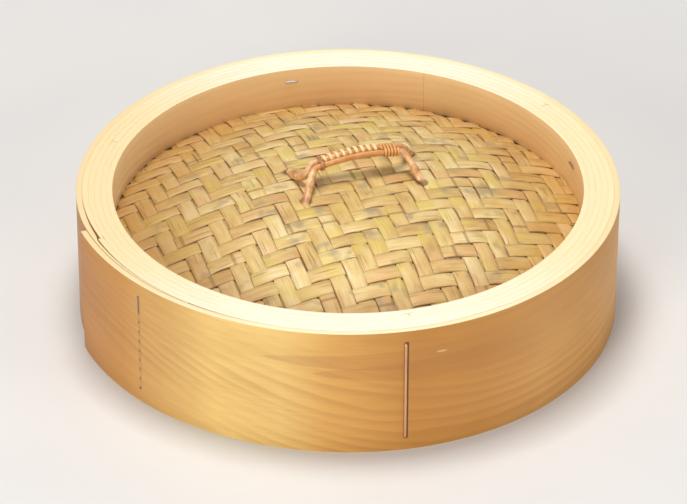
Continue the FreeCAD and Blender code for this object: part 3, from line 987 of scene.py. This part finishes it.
def handle_point(along, across, height):
    """A place in the part's frame, from places along and across the handle."""
    angle = math.radians(HANDLE_AZIMUTH)
    x = HANDLE_PLACE.x + along * math.cos(angle) - across * math.sin(angle)
    y = HANDLE_PLACE.y + along * math.sin(angle) + across * math.cos(angle)
    return np.stack(np.broadcast_arrays(x, y, height), axis=-1)


def grip_line(along, across):
    """Centre line of the grip, gently arched and a little lower at its left end."""
    share = along / GRIP_HALF
    arch = GRIP_ARCH * (np.sqrt(share**2 + ARCH_ROUNDING) - math.sqrt(ARCH_ROUNDING)) / ARCH_SPAN
    lean = GRIP_LEAN * (1 - share) / 2
    top = float(dome_height(0)) + GRIP_HEIGHT - 0.2 * MM
    return handle_point(along, across, top - arch - lean)


def foot_place(end, side):
    """Where a cane goes into the dome: end is -1 at the left, and side is -1 at the front."""
    spread = FRONT_FOOT_SPREAD if side < 0 else BACK_FOOT_SPREAD
    reach = FRONT_RIGHT_FOOT_REACH if side < 0 < end else FOOT_REACH
    foot = handle_point(end * reach, side * spread, 0.0)
    foot[2] = dome_height(math.hypot(foot[0], foot[1]))
    return foot


def leg(end, side):
    """From the clinched tip under the dome, up through a foot, to one end of the grip.

    The back cane's left leg first follows the front cane's, and parts from it at a knee.
    """
    grip_end = grip_line(end * GRIP_HALF, side * CANE_OFFSET)
    foot = foot_place(end, side)
    down = foot - grip_end
    bend = foot + down * (CLINCH_DEPTH / -down[2])
    outward = handle_point(end * CLINCH_LENGTH, side * CLINCH_SPREAD, 0.0) - handle_point(0, 0, 0.0)
    tip = bend + outward - np.array([0, 0, CLINCH_FALL])
    if end < 0 < side:
        below = foot - np.array([0, 0, CLINCH_DEPTH])
        return [below + tip - bend, below, foot, handle_point(*KNEE), grip_end]
    return [tip, bend, grip_end]


def cane_path(side):
    """Centre line of a whole cane, from its left clinched tip to its right one."""
    arch = [grip_line(at * GRIP_HALF, side * CANE_OFFSET) for at in (-0.6, -0.2, 0.2, 0.6)]
    left, right = leg(-1, side), leg(1, side)[::-1]
    foot, arch_bend = 7 * MM, 20 * MM
    bends = [foot] + [CORNER_RADIUS] * (len(left) - 2) + [arch_bend] * len(arch) + [CORNER_RADIUS, foot]
    return rounded_path(left + arch + right, bends, 1 * MM)


def make_cane(name, side, material):
    """A cane with swollen growth nodes and tapered tips. The front one is shaved thinner at the grip."""
    path = cane_path(side)
    travelled = lengths(path)
    total = travelled[-1]
    share = travelled / total
    radii = CANE_RADIUS * (1.06 + waves(share * 2, 0.05, 5 + side))
    from_grip = np.abs(travelled - total / 2) - GRIP_HALF
    if side < 0:
        radii -= FRONT_SHAVING * np.clip(0.5 - from_grip / (6 * MM), 0, 1)
    for node, swelling, spread in CANE_NODES:
        radii += swelling * np.exp(-(((share - node) * total / spread) ** 2))
    for ending in (travelled, total - travelled):
        radii *= np.clip(0.45 + ending / (5 * MM), 0, 1)
    wobble = np.stack([waves(share * 1.5, CANE_WOBBLE, 40 + side + axis) for axis in range(3)], axis=1)
    calm = np.clip(np.minimum(travelled, total - travelled) / (20 * MM), 0, 1)
    build = Build()
    rod(build, path + wobble * calm[:, None], radii, 18)
    build.finish(name, [material])


def wound(name, span, turns, outline, width, thickness, material):
    """A strip wound round the grip. outline gives (across, up, outward) for shares of a turn."""
    start, end = span
    steps = np.linspace(0, turns, turns * 40 + 1)
    along = start + (end - start) * steps / turns
    across, up, out_across, out_up = outline(steps)
    path = np.array([grip_line(*place) for place in zip(along, across)])
    path[:, 2] += up
    sideways = handle_point(0, 1, 0.0) - handle_point(0, 0, 0.0)
    normals = out_across[:, None] * sideways + out_up[:, None] * np.array([0, 0, 1.0])
    normals /= np.linalg.norm(normals, axis=1, keepdims=True)
    build = Build()
    ribbon(build, path, normals, width, thickness, 0.15 * MM)
    build.finish(name, [material], sharp=60)


def round_one_cane(gap):
    """Outline round the back cane only."""

    def outline(turns):
        angle = 2 * np.pi * turns
        reach = CANE_RADIUS + gap
        return CANE_OFFSET + reach * np.cos(angle), reach * np.sin(angle), np.cos(angle), np.sin(angle)

    return outline


def round_both_canes(gap):
    """Outline with straight runs above and below, and a half round at each side."""
    reach = CANE_RADIUS + gap
    straight = 2 * CANE_OFFSET
    half_way = straight + math.pi * reach

    def outline(turns):
        gone = (turns % 1) * 2 * half_way
        side = np.where(gone < half_way, 1, -1)
        rest = gone % half_way
        angle = math.pi / 2 - np.maximum(rest - straight, 0) / reach
        out_across, out_up = side * np.cos(angle), side * np.sin(angle)
        across = side * (np.minimum(rest, straight) - CANE_OFFSET) + reach * out_across
        return across, reach * out_up, out_across, out_up

    return outline


def make_grip():
    wrap_paint = wrap_material("grip_wrap", srgb(246, 218, 162), srgb(234, 196, 136), srgb(184, 122, 66))
    knot_paint = wrap_material("knotted_wrap", srgb(196, 136, 88), srgb(150, 94, 58), srgb(92, 54, 32))
    bind_paint = wrap_material("grip_binding", srgb(232, 176, 108), srgb(214, 146, 80), srgb(150, 86, 38))
    left = (-BINDING_REACH + WRAP_GAP, WRAP_SPAN[0] - WRAP_GAP)
    right = (WRAP_SPAN[1] + WRAP_GAP, BINDING_REACH - WRAP_GAP)
    wound("grip_wrap", WRAP_SPAN, 9, round_one_cane(0.45 * MM), 2.6 * MM, 1.1 * MM, wrap_paint)
    wound("left_grip_binding", left, 2, round_both_canes(0.4 * MM), 1.9 * MM, 0.7 * MM, knot_paint)
    wound("right_grip_binding", right, 5, round_both_canes(0.4 * MM), 1.7 * MM, 0.7 * MM, bind_paint)


def make_handle(feet):
    # The front cane's darker orange along the grip is painted shade for the grip's underside.
    make_cane("handle_front_cane", -1, cane_material("front_cane", srgb(204, 134, 62), feet))
    make_cane("handle_back_cane", 1, cane_material("back_cane", srgb(208, 154, 96), feet))
    make_grip()


# -------------------- staples


def staple_path(place, azimuth):
    """A staple's wire: a crown on the outside, two arms through the wall, and two bent-over ends."""
    standing = WIRE_RADIUS - WIRE_SUNK
    outside = HOOP_RADIUS + float(lap_lift(np.array(azimuth))) + standing
    inside = BORE_RADIUS - standing
    bottom, top = STAPLE_MARGIN, HOOP_HEIGHT - STAPLE_MARGIN
    bent_over = azimuth + math.degrees(STAPLE_CLINCH / inside)
    corners = (
        (inside, bent_over, top), (inside, azimuth, top), (outside, azimuth, top),
        (outside, azimuth, bottom), (inside, azimuth, bottom), (inside, bent_over, bottom),
    )
    path = rounded_path([polar(*corner) for corner in corners], [2 * MM] * 4, 0.6 * MM)
    if place == "left":
        crown = np.hypot(path[:, 0], path[:, 1]) > outside - 0.3 * MM
        path[:, :2] *= 1 - np.where(crown, crown_depth(top - path[:, 2]), 0)[:, None] / outside
    return path


def crown_depth(down):
    """How much deeper the left staple's crown lies than the others'. Lower down it shows as dashes."""
    dashes = 1.56 + 0.5 * np.sin(down / (1.15 * MM))
    return np.where(down > 12 * MM, dashes, 0.9) * MM


def make_staples():
    build = Build()
    for place, azimuth in STAPLES.items():
        rod(build, staple_path(place, azimuth), WIRE_RADIUS, 12, STAPLE_TONES[place])
    build.finish("wire_staples", [wire_material()])


# -------------------- stage


def make_floor():
    """A plain pale slab, its top at the part's bottom edge."""
    slab = bmesh.new()
    size = Matrix.Diagonal((FLOOR_SIDE, FLOOR_SIDE, FLOOR_DEPTH, 1))
    bmesh.ops.create_cube(slab, size=1, matrix=Matrix.Translation((0, 0, -FLOOR_DEPTH / 2)) @ size)
    mesh = bpy.data.meshes.new("floor")
    slab.to_mesh(mesh)
    slab.free()
    paint = Paint("floor", 0.7)
    x, y, _ = paint.split(paint.place())
    mottle = paint.noise(x, y, (3, 3), 1.0, detail=3)
    tone = paint.ramp(mottle, (0.3, srgb(214, 213, 212)), (0.7, srgb(222, 221, 219)))
    mesh.materials.append(paint.done(tone))
    floor = bpy.data.objects.new("floor", mesh)
    bpy.context.scene.collection.objects.link(floor)


def area_light(name, place, side, power, colour):
    """A square light that looks at the part."""
    data = bpy.data.lights.new(name, "AREA")
    data.size = side
    data.energy = power
    data.color = colour
    light = bpy.data.objects.new(name, data)
    light.location = place
    light.rotation_euler = (LIGHT_AIM - Vector(place)).to_track_quat("-Z", "Y").to_euler()
    bpy.context.scene.collection.objects.link(light)


def make_light():
    world = bpy.data.worlds.new("studio")
    world.use_nodes = True
    background = world.node_tree.nodes["Background"]
    background.inputs["Color"].default_value = (0.96, 0.97, 1.0, 1)
    background.inputs["Strength"].default_value = 0.38
    bpy.context.scene.world = world
    area_light("overhead", (-0.1, 0.1, 1.7), 0.6, 21, (1.0, 0.97, 0.93))
    area_light("front_left", (-0.9, -2.0, 0.8), 0.8, 25, (1.0, 0.96, 0.9))
    area_light("right", (2.0, -1.0, 0.8), 0.9, 10, (1.0, 0.97, 0.93))
    bpy.context.scene.view_settings.view_transform = "Standard"


def make_camera():
    data = bpy.data.cameras.new("camera")
    data.sensor_width = 36
    data.lens = 218.4
    camera = bpy.data.objects.new("camera", data)
    place = Vector((0, -2.3523, 1.5350))
    aim = Vector((-0.0029, 0, 0.0373))
    turn = (aim - place).to_track_quat("-Z", "Y").to_matrix().to_4x4()
    roll = Matrix.Rotation(math.radians(0.197), 4, "Z")
    camera.matrix_world = Matrix.Translation(place) @ turn @ roll
    bpy.context.scene.collection.objects.link(camera)
    bpy.context.scene.camera = camera


make_camera()
make_light()
make_floor()
feet = [foot_place(end, side) for end in (-1, 1) for side in (-1, 1)]
make_hoop()
make_dome(feet)
make_handle(feet)
make_staples()
